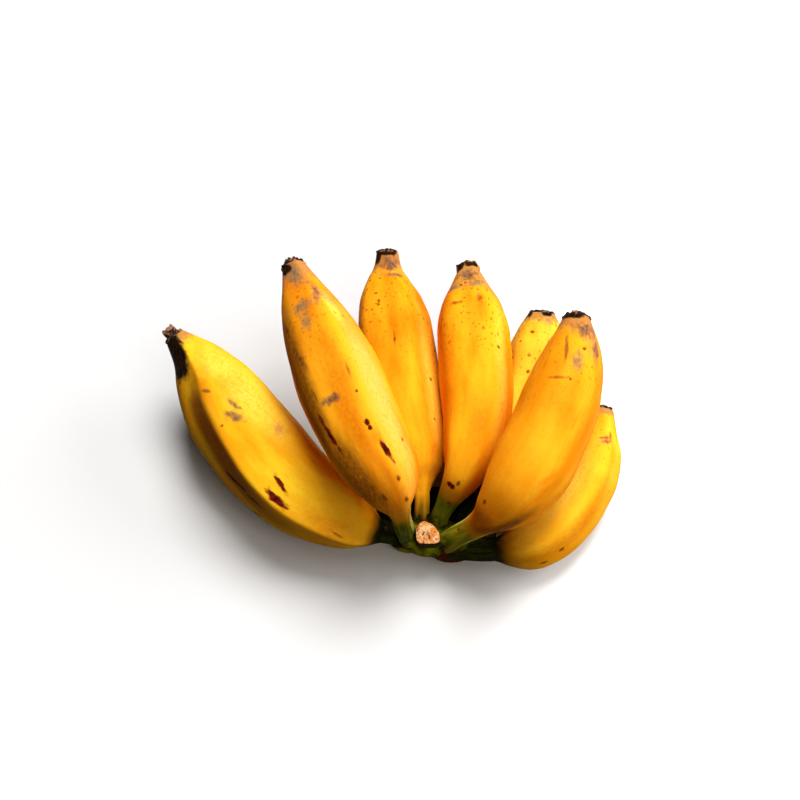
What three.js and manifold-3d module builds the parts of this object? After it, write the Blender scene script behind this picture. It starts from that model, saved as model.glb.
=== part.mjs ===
// One hand of seven baby bananas, as picked, lying on its hollow side.
// The bananas grow from one crown, and the stump of an eighth that was cut away stands on it.
// Millimetres and degrees. +Z is up and the floor is z = 0. While the hand is built, its crown is
// near x = 0, y = 0 and the bananas run away from it along +Y. Its group then centres it.
import * as THREE from "three";
import { mergeVertices } from "three/addons/utils/BufferGeometryUtils.js";
import Module from "manifold-3d";

const wasm = await Module();
wasm.setup();

// Driving dimensions.
const FIT_GAP = 0.3; // left between two pieces that touch
const RINGS = 30; // steps of skin along a banana
const SIDES = 20; // points round each ring of skin
const EVEN_FACES = [0, 72, 144, 216, 288]; // directions of the five faces of an even banana
const SHARP_RIDGE_EXTRA = 40; // added to a banana's ridges where one of them is sharp
const SHARP_RIDGE_WIDTH = 30; // degrees round a banana
const BLOSSOM_SIDES = 14;
const BLOSSOM_RIM_HEIGHT = 1; // of the rim that sits on the neck, under the nub
const BLOSSOM_RIM_SHARE = 0.94; // the rim's upper edge, as a share of its lower edge
const BLOSSOM_FOOT_SHARE = 0.7; // where the nub starts, as a share of the blossom end's height
const BLOSSOM_TOP_SHARE = 0.9; // the nub's top, as a share of its width

// A banana's route starts inside the crown and goes through its stalk, its back and its neck to its
// tip. Its thickness is given as [distance along the route, thickness]. The directions of its faces
// turn from its upper side to the side on the right, seen from the crown. The higher its ridges'
// number, the sharper they are between its faces.
const BANANAS = [
  {
    name: "banana_far_left",
    route: [
      [-5, 5, 5.5], [-23, 5, 11], [-34.5, 9.5, 14], [-51, 19, 16], [-64, 32, 17.5], [-75.5, 46, 20],
      [-84, 58.5, 22.5], [-90.5, 67, 27], [-98, 74.5, 31],
    ],
    thickness: [
      [0, 7], [16, 7.4], [21, 13], [27, 21], [38, 27.5], [55, 33], [72, 35], [88, 33.8], [101, 29],
      [110, 22.6], [119, 13.6], [126, 7.6],
    ],
    faces: [0, -70, -120, 178, 125, 72],
    turn: 21,
    twist: 60,
    ridges: 7,
    sharpRidge: -35,
    blossom: { width: 5, height: 4.5 },
  },
  {
    name: "banana_front_left",
    route: [
      [-12, 4, 8], [-13.6, 1.5, 26], [-17.5, 8, 40], [-27.5, 25, 46.5], [-38.5, 51, 49.5],
      [-47.5, 75, 50.5], [-53.5, 92.5, 51],
    ],
    thickness: [
      [0, 7], [20, 6.6], [26, 8.5], [33, 17.5], [42, 25], [54, 28.2], [76, 30], [96, 26], [109, 20],
      [119, 13.6], [127, 8.8],
    ],
    turn: -24,
    ridges: 6.5,
    blossom: { width: 5.6, height: 3 },
  },
  {
    name: "banana_middle_left",
    route: [
      [-7.4, 8.3, 11], [-6.8, 9.8, 17.5], [-6.8, 16.4, 20.2], [-9.3, 29.9, 21], [-13.5, 59, 21],
      [-16.8, 82, 23], [-19.1, 97, 27.5], [-19.4, 110, 33],
    ],
    thickness: [
      [0, 5.2], [13, 5.2], [17, 9], [22, 17], [30, 23], [44, 25.4], [64, 26], [82, 26], [92, 22.5],
      [101, 14.4], [104.5, 10.4], [107.5, 8.8], [111, 7.8],
    ],
    turn: -16,
    ridges: 6.5,
    blossom: { width: 6.4, height: 1.4 },
  },
  {
    name: "banana_middle_right",
    route: [
      [-0.6, 8.6, 11], [0, 8.9, 17], [2.8, 12.6, 22.3], [8.5, 20.4, 30], [12.9, 40.1, 32.3],
      [12.8, 61.8, 31.3], [12, 83.6, 32.8], [11, 102.8, 34.6],
    ],
    thickness: [
      [0, 6], [8, 6.4], [15, 8.8], [24, 14], [34, 19.5], [48, 23.5], [66, 25.6], [82, 25.6],
      [93, 21.5], [101, 14], [107, 8.4],
    ],
    turn: -10,
    ridges: 6,
    blossom: { width: 6.2, height: 1.2 },
  },
  {
    name: "banana_back_right",
    route: [
      [2, 5, 8], [15, 17, 10], [27.5, 36, 12.5], [36, 62, 14], [38, 78, 18.5], [39, 89, 24],
    ],
    thickness: [
      [0, 7.2], [12, 7.6], [24, 16], [38, 23], [60, 25], [80, 23], [91, 16], [97, 9.6],
    ],
    ridges: 7,
    blossom: { width: 6.2, height: 1.2 },
  },
  {
    name: "banana_front_right",
    route: [
      [3.1, 0.6, 10.5], [5.4, 0, 17.3], [12.4, 1.2, 24], [20.5, 3.5, 35], [29, 12, 41.5],
      [38.5, 30, 44.5], [45.5, 49.5, 48.5], [48, 61, 50.5], [49, 70, 51],
    ],
    thickness: [
      [0, 7.6], [12, 7.8], [18, 9], [24, 12], [31, 18.5], [40, 25], [52, 28], [70, 28], [85, 25],
      [96, 19.5], [102, 14.5], [108, 10],
    ],
    ridges: 4.5,
    blossom: { width: 4.6, height: 3.4 },
  },
  {
    name: "banana_far_right",
    route: [
      [3, 0, 7], [19, -1.5, 9.5], [33, 0.5, 12], [45, 13, 13], [54, 29.5, 15.5], [57.5, 40.5, 19],
      [59.2, 49.2, 22.4],
    ],
    thickness: [
      [0, 7], [16, 7.6], [22, 12], [31, 19], [45, 23.5], [62, 24], [74, 19.5], [82, 13], [89, 9],
    ],
    ridges: 7,
    blossom: { width: 5.6, height: 1.4 },
  },
];

// The crown is a few rounded lumps of stem tissue grown into one, each [middle, half sizes].
const CROWN_LUMPS = [
  [[-11, 5, 6.5], [8, 5.5, 9]],
  [[-4.5, 4, 6.5], [9, 6.5, 7.5]],
  [[4.2, 1.9, 6.5], [9.5, 6.8, 7.5]],
  [[-3, 9, 8], [8, 5.5, 6.2]],
  [[-19, 11, 5], [9, 8, 6]],
  [[1, 17, 4], [12, 9, 6]],
  [[12, 5, 4.5], [9, 6, 6]],
];
const LUMP_SIDES = 20;
const LUMP_BANDS = 12;
const CROWN_CUT_POINT = new THREE.Vector3(4.6, -3.6, 5); // the cut that took the hand off its stem
const CROWN_CUT_FACING = new THREE.Vector3(0.05, -1, 0.1);

const STUMP_FOOT = new THREE.Vector3(-4.5, 3, 8);
const STUMP_TOP = new THREE.Vector3(-4.5, 0, 20.5);
const STUMP_FOOT_THICKNESS = 8.4;
const STUMP_TOP_THICKNESS = 8;
const STUMP_SIDES = 18;
const STUMP_CUT_FACING = new THREE.Vector3(0, -0.47, 0.88);
const STUMP_SPARE = 6; // made past its top, then cut away

const CUTTING_BLOCK = 400; // wider than the hand
const MERGE_WITHIN = 1e-4; // vertices closer than this are one

const skin = new THREE.MeshStandardMaterial({ color: 0xf2b21e, roughness: 0.55, metalness: 0 });
const greenStalk = new THREE.MeshStandardMaterial({ color: 0x4a4a12, roughness: 0.7, metalness: 0 });
const driedTip = new THREE.MeshStandardMaterial({ color: 0x2b1a10, roughness: 0.9, metalness: 0 });
const cutFlesh = new THREE.MeshStandardMaterial({ color: 0xe09a5c, roughness: 0.8, metalness: 0 });

// A closed geometry as a solid that can be cut and joined, and back.
function solidOf(geometry) {
  const bare = geometry.clone();
  bare.deleteAttribute("normal");
  bare.deleteAttribute("uv");
  const merged = mergeVertices(bare, MERGE_WITHIN);
  return new wasm.Manifold(
    new wasm.Mesh({
      numProp: 3,
      vertProperties: merged.attributes.position.array,
      triVerts: new Uint32Array(merged.index.array),
    }),
  );
}

function geometryOf(solid) {
  const mesh = solid.getMesh();
  const geometry = new THREE.BufferGeometry();
  geometry.setAttribute("position", new THREE.BufferAttribute(mesh.vertProperties, 3));
  geometry.setIndex(new THREE.BufferAttribute(mesh.triVerts, 1));
  geometry.computeVertexNormals();
  return geometry;
}

// A block whose one face passes through a point, and which fills the side that the face looks to.
function blockBeyond(point, facing) {
  const block = new THREE.BoxGeometry(CUTTING_BLOCK, CUTTING_BLOCK, CUTTING_BLOCK);
  block.translate(0, 0, CUTTING_BLOCK / 2);
  const direction = facing.clone().normalize();
  block.applyQuaternion(new THREE.Quaternion().setFromUnitVectors(new THREE.Vector3(0, 0, 1), direction));
  block.translate(point.x, point.y, point.z);
  return solidOf(block);
}

// A closed skin over rings of points, with a flat end at each side.
function skinOver(rings) {
  const sides = rings[0].length;
  const ends = [rings[0], rings.at(-1)].map((ring) =>
    ring.reduce((sum, point) => sum.add(point), new THREE.Vector3()).divideScalar(sides),
  );
  const index = [];
  const firstEnd = rings.length * sides;
  const lastEnd = firstEnd + 1;
  for (let side = 0; side < sides; side++) {
    const next = (side + 1) % sides;
    for (let ring = 0; ring < rings.length - 1; ring++) {
      const here = ring * sides;
      const after = here + sides;
      index.push(here + side, here + next, after + next, here + side, after + next, after + side);
    }
    const last = (rings.length - 1) * sides;
    index.push(firstEnd, next, side, lastEnd, last + side, last + next);
  }
  const geometry = new THREE.BufferGeometry().setFromPoints([...rings.flat(), ...ends]);
  return geometry.setIndex(index);
}

// The slope of a banana's thickness at each place where it is given. It is level at a highest or a
// lowest one, so that the skin never swings past the thickness given.
function slopesOf(thickness) {
  const steps = thickness.slice(1).map(([place, size], index) => {
    const [placeBefore, sizeBefore] = thickness[index];
    return (size - sizeBefore) / (place - placeBefore);
  });
  const inner = steps.slice(1).map((after, index) => {
    const before = steps[index];
    return before * after > 0 ? (2 * before * after) / (before + after) : 0;
  });
  return [steps[0], ...inner, steps.at(-1)];
}

// How far the skin is from the middle of a banana, at a distance along its route.
function skinRadius({ thickness }, along) {
  const last = thickness.length - 1;
  const place = THREE.MathUtils.clamp(along, thickness[0][0], thickness[last][0]);
  const end = Math.max(
    1,
    thickness.findIndex(([given]) => given >= place),
  );
  const [startPlace, startSize] = thickness[end - 1];
  const [endPlace, endSize] = thickness[end];
  const slopes = slopesOf(thickness);
  const gap = endPlace - startPlace;
  const share = (place - startPlace) / gap;
  const left = 1 - share;
  const leaving = gap * slopes[end - 1] * share * left ** 2;
  const arriving = gap * slopes[end] * share ** 2 * left;
  const eased = THREE.MathUtils.smoothstep(share, 0, 1);
  return (THREE.MathUtils.lerp(startSize, endSize, eased) + leaving - arriving) / 2;
}

// The outline of a section, as a share of its radius: flat faces that meet in rounded ridges.
function outline(banana, angle, share) {
  const turned = (banana.turn ?? 0) + (banana.twist ?? 0) * (share - 1);
  const faces = (banana.faces ?? EVEN_FACES).map((face) => THREE.MathUtils.degToRad(face + turned));
  let sharpness = banana.ridges;
  if (banana.sharpRidge !== undefined) {
    const away = THREE.MathUtils.radToDeg(angle) - banana.sharpRidge - turned;
    const offRidge = THREE.MathUtils.euclideanModulo(away + 180, 360) - 180;
    sharpness += SHARP_RIDGE_EXTRA * Math.exp(-((offRidge / SHARP_RIDGE_WIDTH) ** 2));
  }
  const sum = faces.reduce((total, face) => total + Math.max(0, Math.cos(angle - face)) ** sharpness, 0);
  return sum ** (-1 / sharpness);
}

// The upper side of the banana at each step. It is level in the middle and follows the bends without twist.
function upperSides(tangents) {
  const middle = Math.floor(tangents.length / 2);
  const uppers = [];
  const across = (upper, tangent) => upper.clone().projectOnPlane(tangent).normalize();
  uppers[middle] = across(new THREE.Vector3(0, 0, 1), tangents[middle]);
  for (let step = middle + 1; step < tangents.length; step++) {
    uppers[step] = across(uppers[step - 1], tangents[step]);
  }
  for (let step = middle - 1; step >= 0; step--) {
    uppers[step] = across(uppers[step + 1], tangents[step]);
  }
  return uppers;
}

function routeOf(banana) {
  return new THREE.CatmullRomCurve3(banana.route.map((point) => new THREE.Vector3(...point)));
}

function bananaSkin(banana) {
  const route = routeOf(banana);
  const length = route.getLength();
  const shares = Array.from({ length: RINGS + 1 }, (_, step) => step / RINGS);
  const tangents = shares.map((share) => route.getTangentAt(share));
  const uppers = upperSides(tangents);
  const rings = shares.map((share, step) => {
    const middle = route.getPointAt(share);
    const radius = skinRadius(banana, share * length);
    const right = new THREE.Vector3().crossVectors(tangents[step], uppers[step]);
    return Array.from({ length: SIDES }, (_, side) => {
      const angle = (side / SIDES) * 2 * Math.PI;
      const reach = radius * outline(banana, angle, share);
      return middle
        .clone()
        .addScaledVector(uppers[step], reach * Math.cos(angle))
        .addScaledVector(right, reach * Math.sin(angle));
    });
  });
  return skinOver(rings);
}

// The dried remnant of the flower: a rim on the end of the neck and a narrower nub on it.
function blossomEnd(banana) {
  const { width, height } = banana.blossom;
  const rim = banana.thickness.at(-1)[1] / 2;
  const rimHeight = Math.min(BLOSSOM_RIM_HEIGHT, height / 2);
  const footHeight = Math.min(BLOSSOM_RIM_HEIGHT / BLOSSOM_FOOT_SHARE, height * BLOSSOM_FOOT_SHARE);
  const profile = [
    new THREE.Vector2(0, 0),
    new THREE.Vector2(rim, 0),
    new THREE.Vector2(rim * BLOSSOM_RIM_SHARE, rimHeight),
    new THREE.Vector2(width / 2, footHeight),
    new THREE.Vector2((width / 2) * BLOSSOM_TOP_SHARE, height),
    new THREE.Vector2(0, height),
  ];
  const route = routeOf(banana);
  const tangent = route.getTangentAt(1);
  const geometry = new THREE.LatheGeometry(profile, BLOSSOM_SIDES);
  geometry.applyQuaternion(new THREE.Quaternion().setFromUnitVectors(new THREE.Vector3(0, 1, 0), tangent));
  const seat = route.getPointAt(1).addScaledVector(tangent, FIT_GAP);
  return geometry.translate(seat.x, seat.y, seat.z);
}

// The crown's lumps as one solid, swollen by a gap all round when something is fitted to it.
function crownSolid(gap) {
  const lumps = CROWN_LUMPS.map(([middle, halves]) =>
    solidOf(
      new THREE.SphereGeometry(1, LUMP_SIDES, LUMP_BANDS)
        .rotateX(Math.PI / 2)
        .scale(...halves.map((half) => half + gap))
        .translate(...middle),
    ),
  );
  return lumps.reduce((joined, lump) => joined.add(lump));
}

function stumpSolid() {
  const axis = new THREE.Vector3().subVectors(STUMP_TOP, STUMP_FOOT);
  const length = axis.length() + STUMP_SPARE;
  const geometry = new THREE.CylinderGeometry(
    STUMP_TOP_THICKNESS / 2,
    STUMP_FOOT_THICKNESS / 2,
    length,
    STUMP_SIDES,
  );
  geometry.translate(0, length / 2, 0);
  const lean = new THREE.Quaternion().setFromUnitVectors(new THREE.Vector3(0, 1, 0), axis.normalize());
  geometry.applyQuaternion(lean).translate(STUMP_FOOT.x, STUMP_FOOT.y, STUMP_FOOT.z);
  return solidOf(geometry).subtract(blockBeyond(STUMP_TOP, STUMP_CUT_FACING));
}

const floor = blockBeyond(new THREE.Vector3(), new THREE.Vector3(0, 0, -1));
const hand = new THREE.Group();

function addPiece(name, geometry, material) {
  const mesh = new THREE.Mesh(geometry, material);
  mesh.name = name;
  hand.add(mesh);
}

const crownCut = blockBeyond(CROWN_CUT_POINT, CROWN_CUT_FACING);
addPiece("crown", geometryOf(crownSolid(0).subtract(crownCut).subtract(floor)), greenStalk);

const crownAndGap = crownSolid(FIT_GAP);
addPiece("cut_stump", geometryOf(stumpSolid().subtract(crownAndGap)), cutFlesh);

for (const banana of BANANAS) {
  const skinSolid = solidOf(bananaSkin(banana)).subtract(crownAndGap).subtract(floor);
  addPiece(banana.name, geometryOf(skinSolid), skin);
  addPiece(banana.name.replace("banana", "blossom_end"), blossomEnd(banana), driedTip);
}

const box = new THREE.Box3().setFromObject(hand);
const middle = box.getCenter(new THREE.Vector3());
hand.position.set(-middle.x, -middle.y, -box.min.z);

const part = new THREE.Group();
part.add(hand);
export default part;
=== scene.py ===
# A hand of seven baby bananas with one cut stump, as picked, lying on its hollow side.
# Blender works in metres. The hand is laid out in millimetres from its crown, so routes, sizes and
# places are in millimetres unless a name says otherwise, and in_part() puts them in the part's frame.
import math

import bpy
import numpy as np
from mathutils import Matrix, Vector


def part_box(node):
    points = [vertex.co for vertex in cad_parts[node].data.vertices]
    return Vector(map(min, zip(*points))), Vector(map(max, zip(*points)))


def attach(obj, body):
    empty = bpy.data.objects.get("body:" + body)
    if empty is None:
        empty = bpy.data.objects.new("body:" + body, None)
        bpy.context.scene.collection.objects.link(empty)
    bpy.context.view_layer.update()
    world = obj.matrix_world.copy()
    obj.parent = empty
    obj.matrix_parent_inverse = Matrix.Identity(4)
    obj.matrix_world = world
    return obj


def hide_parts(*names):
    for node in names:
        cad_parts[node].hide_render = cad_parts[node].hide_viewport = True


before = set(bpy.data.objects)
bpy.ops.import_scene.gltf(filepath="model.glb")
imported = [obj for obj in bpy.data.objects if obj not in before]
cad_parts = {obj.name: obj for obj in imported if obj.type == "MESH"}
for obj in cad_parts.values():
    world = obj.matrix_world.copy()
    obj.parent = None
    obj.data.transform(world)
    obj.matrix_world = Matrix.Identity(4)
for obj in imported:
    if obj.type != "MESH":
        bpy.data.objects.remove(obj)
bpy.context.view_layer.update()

# ----------------------------------------------------------
# The seven bananas. Each is skin and flesh grown as one piece with its stalk, and stays on the
# crown. Its skin has flat faces that meet in ridges, swells over a shoulder and narrows to a neck.
# Ripe skin is waxy and yellow, green on the stalk, brown on its ridges and wherever it was rubbed.
# Its colour also holds painted shade, deeper orange and brown on the sides that face away from the
# lamps, and painted light, paler yellow on the sides that face them.

MM = 0.001
CROWN_RIGHT = 21.0  # how far the crown reaches from the hand's own zero
CROWN_BACK = 26.0
crown_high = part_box("crown")[1]
HAND_ZERO = np.array([crown_high.x / MM - CROWN_RIGHT, crown_high.y / MM - CROWN_BACK, 0.0])

RINGS = 220
SIDES = 144
CURVE_STEPS = 60  # between two points that a route goes through
EVEN_FACES = (0, 72, 144, 216, 288)  # degrees round a banana, from its upper side to its right
SHARP_RIDGE_EXTRA = 40
SHARP_RIDGE_WIDTH = 30
RIDGE_BAND = 0.06  # how wide the brown of a ridge is
LUMPS = 0.22  # how high the skin's soft lumps are
LUMPS_WHERE_THIN = 0.3  # as a share of that, on the stalk and the neck
THIN_RADIUS = 3
WAVE_TURNS = (0, 1, 2, 3, 5)  # a skin's unevenness is the sum of waves, so many round it
WAVE_LENGTHS = (70, 37, 21, 12)  # and so long
WAVE_FADE = 0.8  # how fast they get lower as they get shorter
WAVE_SUM = 3
FLOOR_SOFTNESS = 0.5
BAKE_MARGIN = 0.02  # the share of a skin's map that each of its ends has

# Colours, as red, green and blue from 0 to 255 on a screen.
DEEP_ORANGE = (206, 110, 5)
RIDGE_BROWN = (120, 60, 8)
HALF_GREEN = (184, 122, 12)
FRECKLE_BROWN = (126, 54, 8)
MOTTLE_BROWN = (196, 100, 8)
PALE_FLECK = (255, 196, 56)
TIP_GREY = (136, 112, 82)
TIP_BROWN = (172, 106, 52)

# How strong each tint is, and the two levels between which its edge fades in.
BROAD_SHARE = 0.65  # of the skin's tone, the rest of which is in small patches
TONE_EDGE = (0.34, 0.64)
PAINTED_SHADE_SIDE = np.array([-0.8, -0.5, -0.3])  # painted shade: skin that faces this way, away from the lamps, is made a deeper orange
PAINTED_SHADE_SIDE_EDGE = (0.3, 0.9)
PAINTED_SHADE_SIDE_STRENGTH = 0.35
RIDGE_EDGE = (0.4, 0.7)
RIDGE_STRENGTH = 0.35
HALF_GREEN_EDGE = (0.1, 0.6)
GREEN_EDGE = (0.5, 0.95)
TIP_EDGE = (0.1, 0.85)
TIP_STRENGTH = 0.75
FRECKLED_FROM = (0.5, 0.85)  # there are more freckles past these shares of the length
FRECKLES_BELOW = 0.2
SPECK_NOISE = 0.4  # the size of the noise in a speck's outline, as a share of the specks' spacing
SPECK_RAGGED = 1.6
SPECK_EDGE = 0.14
PORE_HEIGHT = 0.12  # as a share of the height of the skin's dents
SKIN_ROUGHNESS = (0.5, 0.65)  # smooth skin, and where it is mottled
GRAIN_APART = 1000  # from one banana's grain to the next one's, so that no two look alike
SHIFT_APART = 0.37

# Each size of freckle: the spacing of its pattern, its own size and its share of the places there, and
# how strong it is.
FRECKLES = [(1.3, 0.5, 0.5, 0.7), (2.6, 0.36, 0.42, 0.85), (6.5, 0.19, 0.3, 0.85)]

# The fine grain that lies all over a skin.
SKIN_GRAIN = {
    "lines": dict(
        colour=DEEP_ORANGE, strength=0.07, size_mm=0.9, detail=2, stretch=16, edge=(0.52, 0.72), shift=0
    ),
    "mottle": dict(
        colour=MOTTLE_BROWN, strength=0.14, size_mm=1.1, detail=5, stretch=1.6, edge=(0.5, 0.7), shift=0
    ),
    "flecks": dict(
        colour=PALE_FLECK, strength=0.1, size_mm=1.3, detail=4, stretch=2, edge=(0.56, 0.74), shift=5
    ),
}

# Each kind of mark: the two colours that mottle it, its strength, how deep inside it that strength is
# reached (1 is its middle), how noise breaks it up (by how much, in patches of which size, and how much
# longer along the fruit), and its shape, which is pointed below 2, an oval at 2 and squarer above it.
MARK_KINDS = {
    # yellow and cream: partly the skin's paler tone, partly painted light and sheen on the faces that turn
    # to the lamps
    "yellow": (((255, 224, 84), (253, 206, 60)), 0.75, 1, (0.5, 5, 2.5), 2),
    "cream": (((248, 180, 86), (246, 170, 62)), 0.85, 0.8, (0.4, 5, 2.5), 2),
    # orange: partly the skin's own deeper tone, partly painted shade on sides that lie in shade
    "orange": (((222, 112, 6), (238, 136, 10)), 0.6, 0.9, (0.6, 4, 3), 2),
    # brown: painted shade, on the sides and undersides that face away from the lamps
    "brown": (((98, 50, 6), (132, 72, 8)), 0.92, 0.7, (0.4, 6, 3), 2.5),
    "pink": (((214, 132, 92), (168, 98, 62)), 0.55, 0.9, (1.3, 2.2, 1.3), 2),
    "grey": (((128, 116, 76), (108, 82, 72)), 0.75, 0.9, (2.0, 2.4, 1.2), 2),
    "rub": (((126, 90, 66), (78, 50, 48)), 0.85, 0.8, (1.6, 2.0, 1.4), 2),
    "streak": (((78, 36, 20), (118, 62, 24)), 0.75, 0.8, (1.6, 1.7, 3), 1.8),
    "scratch": (((160, 70, 22), (128, 52, 18)), 0.75, 0.9, (1.4, 1.5, 2), 1.8),
    "bruise": (((66, 9, 8), (108, 24, 10)), 1, 0.5, (1.5, 1.5, 2), 1.8),
    "dot": (((98, 26, 8), (140, 52, 12)), 0.9, 0.7, (0.8, 0.7, 1), 2),
    "black": (((20, 11, 7), (48, 28, 14)), 1, 0.35, (0.6, 1.8, 2), 3),
    # pale: a painted highlight along the lit edge of a stalk
    "pale": (((226, 204, 112), (190, 176, 70)), 0.8, 0.7, (0.3, 2, 4), 2),
}
SOFT_KINDS = ("yellow", "cream", "orange", "brown")  # these lie under the skin's own mottling

# A thickness is (distance along the route, thickness). The green of a stalk fades between two
# distances along the route, and the tip is dry over the last few millimetres. Marks are (kind, share
# of the length, direction in degrees, half length, half width, lean in degrees).
FAR_LEFT = dict(
    name="far_left",
    route=[
        (-5, 5, 5.5), (-23, 5, 11), (-34.5, 9.5, 14), (-51, 19, 16), (-64, 32, 17.5), (-75.5, 46, 20),
        (-84, 58.5, 22.5), (-90.5, 67, 27), (-98, 74.5, 31),
    ],
    thickness=[
        (0, 7), (16, 7.4), (21, 13), (27, 21), (38, 27.5), (55, 33), (72, 35), (88, 33.8), (101, 29),
        (110, 22.6), (119, 13.6), (126, 7.6),
    ],
    faces=(0, -70, -120, 178, 125, 72),
    turn=21,
    twist=60,
    ridges=7,
    sharp_ridge=-35,
    stalk_colours=((18, 20, 4), (36, 42, 7)),
    dry=8,
    green=(18, 25),
    freckles=0.12,
    blossom=dict(width=5, height=4.5, top=(150, 104, 76)),
    skin=((248, 160, 10), (254, 204, 38)),
    marks=[
        ("yellow", 0.68, 20, 34, 11, 0),
        ("yellow", 0.84, 20, 20, 9, 5),
        ("orange", 0.28, -45, 22, 9, 0),
        # painted shade: the brown on the facet below the sharp ridge
        ("brown", 0.6, -54, 48, 7.5, 12),
        ("rub", 0.695, -3, 4.4, 1.8, -15),
        ("rub", 0.66, -10, 5.4, 2.8, -30),
        ("streak", 0.77, -20, 3, 1, -40),
        ("bruise", 0.43, -25, 5, 1.2, 24),
        ("bruise", 0.41, -42, 5.6, 1.6, 9),
        ("bruise", 0.53, -66, 8, 1.1, -5),
        ("bruise", 0.46, -68, 5, 0.9, -5),
        ("streak", 0.45, -97, 5, 1, -35),
        ("streak", 0.25, -50, 5, 0.5, 12),
        ("dot", 0.61, 60, 1.3, 0.9, 0),
        ("dot", 0.66, -28, 0.8, 0.8, 0),
        ("pink", 0.545, 18, 4.6, 3, 0),
        ("black", 0.95, -56, 11, 6, 0),
    ],
)
FRONT_LEFT = dict(
    name="front_left",
    route=[
        (-12, 4, 8), (-13.6, 1.5, 26), (-17.5, 8, 40), (-27.5, 25, 46.5), (-38.5, 51, 49.5),
        (-47.5, 75, 50.5), (-53.5, 92.5, 51),
    ],
    thickness=[
        (0, 7), (20, 6.6), (26, 8.5), (33, 17.5), (42, 25), (54, 28.2), (76, 30), (96, 26), (109, 20),
        (119, 13.6), (127, 8.8),
    ],
    turn=-24,
    ridges=6.5,
    stalk_colours=((58, 68, 7), (108, 114, 16)),
    dry=15,
    green=(17, 34),
    freckles=0.5,
    blossom=dict(width=5.6, height=3, top=(92, 56, 50)),
    skin=((230, 120, 6), (248, 164, 24)),
    marks=[
        ("cream", 0.52, 42, 52, 8.5, 2),
        ("yellow", 0.8, 35, 14, 4, 0),
        ("orange", 0.5, -12, 30, 6, 8),
        ("orange", 0.4, 6, 5, 2.6, 0),
        ("brown", 0.34, -48, 22, 6.6, 0),
        ("brown", 0.62, -59, 47, 6.6, 0),
        ("grey", 0.95, -15, 8, 5, -20),
        ("black", 0.985, -45, 3, 2.4, -30),
        ("grey", 0.83, -20, 4, 7, 0),
        ("grey", 0.775, -22, 5.4, 2.6, 0),
        ("rub", 0.85, 16, 8, 2, 13),
        ("pink", 0.845, 33, 8, 4, -25),
        ("streak", 0.675, -46, 7.2, 1.4, -8),
        ("streak", 0.785, -56, 6.6, 0.9, -12),
        ("rub", 0.53, -28, 2.6, 5, 0),
        ("streak", 0.56, -46, 5, 0.7, -6),
        ("bruise", 0.465, -50, 10, 0.9, -4),
        ("bruise", 0.44, 3, 1.6, 1.4, 0),
        ("bruise", 0.423, 4, 1.1, 0.9, 0),
        ("bruise", 0.355, 9, 4.4, 1.1, -5),
        ("dot", 0.365, 50, 1.1, 1, 0),
        ("dot", 0.52, 7, 0.9, 0.8, 0),
        ("scratch", 0.58, 8, 8, 0.7, 0),
        ("dot", 0.297, 7, 1, 1, 0),
        ("dot", 0.276, -31, 1.2, 1.1, 0),
        ("dot", 0.256, 9, 1, 1, 0),
        ("pale", 0.15, 60, 12, 2.2, 0),
    ],
)
MIDDLE_LEFT = dict(
    name="middle_left",
    route=[
        (-7.4, 8.3, 11), (-6.8, 9.8, 17.5), (-6.8, 16.4, 20.2), (-9.3, 29.9, 21), (-13.5, 59, 21),
        (-16.8, 82, 23), (-19.1, 97, 27.5), (-19.4, 110, 33),
    ],
    thickness=[
        (0, 5.2), (13, 5.2), (17, 9), (22, 17), (30, 23), (44, 25.4), (64, 26), (82, 26), (92, 22.5),
        (101, 14.4), (104.5, 10.4), (107.5, 8.8), (111, 7.8),
    ],
    turn=-16,
    ridges=6.5,
    stalk_colours=((112, 80, 8), (160, 112, 18)),
    dry=12,
    green=(6, 18),
    freckles=0.9,
    blossom=dict(width=6.4, height=1.4, top=(46, 30, 18)),
    skin=((236, 134, 6), (250, 176, 26)),
    marks=[
        ("yellow", 0.5, 50, 42, 6, 0),
        ("brown", 0.55, -74, 30, 2.6, 0),
        ("orange", 0.6, -40, 30, 5, 0),
        ("black", 0.985, -55, 3.6, 1.8, 0),
        ("black", 1.0, 0, 1.6, 5, 0),
        ("rub", 0.96, 14, 4, 5, 0),
        ("rub", 0.917, 14, 1.6, 7, 0),
        ("dot", 0.82, -23, 1, 1, 0),
        ("dot", 0.805, -24, 0.9, 0.9, 0),
        ("dot", 0.85, -27, 0.6, 0.7, 0),
        ("dot", 0.795, -45, 0.6, 0.7, 0),
        ("dot", 0.79, -35, 0.7, 0.8, 0),
        ("dot", 0.645, -5, 1.1, 0.9, 0),
        ("scratch", 0.645, -5, 7, 0.6, 5),
        ("dot", 0.495, 50, 1.3, 1.2, 0),
        ("dot", 0.34, 45, 0.8, 0.9, 0),
        ("dot", 0.625, 79, 0.8, 0.8, 0),
    ],
)
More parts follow.
